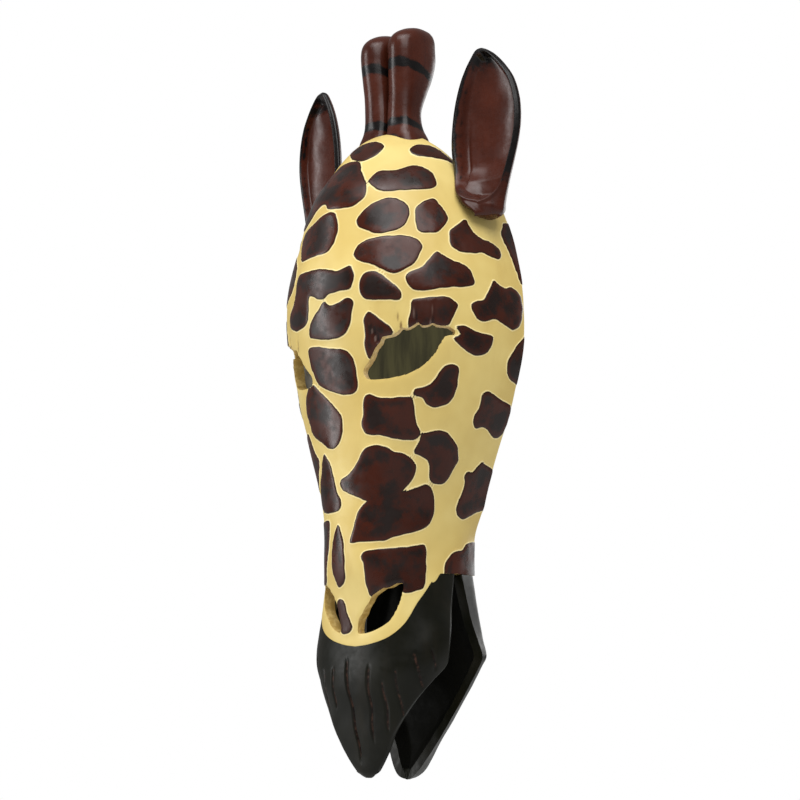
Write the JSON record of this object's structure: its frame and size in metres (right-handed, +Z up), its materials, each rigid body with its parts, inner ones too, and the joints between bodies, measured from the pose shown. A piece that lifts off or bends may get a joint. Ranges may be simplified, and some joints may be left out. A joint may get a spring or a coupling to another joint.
{
  "type": "giraffe head wall mask",
  "caption": "Hollow-backed carved giraffe head mask that hangs on a wall, with spotted cream shell, black muzzle, horns and ears.",
  "frame": {"origin": "the point of the wall plane level with the top inside of the hanging ring, where the wall hook carries the mask", "axes": "+Z up, +Y into the wall (the back rim lies in the plane y = 0), the face looks along -Y, +X to the right of someone facing the mask"},
  "size_m": [0.195, 0.1039, 0.501],
  "materials": {
    "spotted_cream_paint": "satin cream paint with raised red-brown spots",
    "black_lip_paint": "semi-gloss black paint, rubbed brown in the grooves",
    "mahogany_stain": "glossy mahogany lacquer with smoked edges and bands",
    "dowel_wood": "plain beech peg",
    "batten_wood": "sawn softwood, unfinished",
    "screw_brass": "plain brass screw",
    "hanger_steel": "zinc plated steel"
  },
  "bodies": {
    "mask": {"face_shell": "spotted_cream_paint", "upper_muzzle": "black_lip_paint", "lower_jaw": "black_lip_paint", "left_ossicone": "mahogany_stain", "right_ossicone": "mahogany_stain", "left_ear": "mahogany_stain", "right_ear": "mahogany_stain", "muzzle_dowels": "dowel_wood", "jaw_dowels": "dowel_wood", "ossicone_dowels": "dowel_wood", "ear_dowels": "dowel_wood", "batten_blocks": "batten_wood", "hanger_batten": "batten_wood", "batten_screws": "screw_brass", "hanger_strap": "hanger_steel", "strap_screws": "screw_brass"},
    "ring": {"hanger_ring": "hanger_steel"}
  },
  "joints": [
    {"name": "ring_hinge", "type": "hinge", "parent": "mask", "child": "ring", "pos_m": [0, -0.0055, -0.022], "axis": [-1, 0, 0], "range_deg": [-20, 175]}
  ]
}
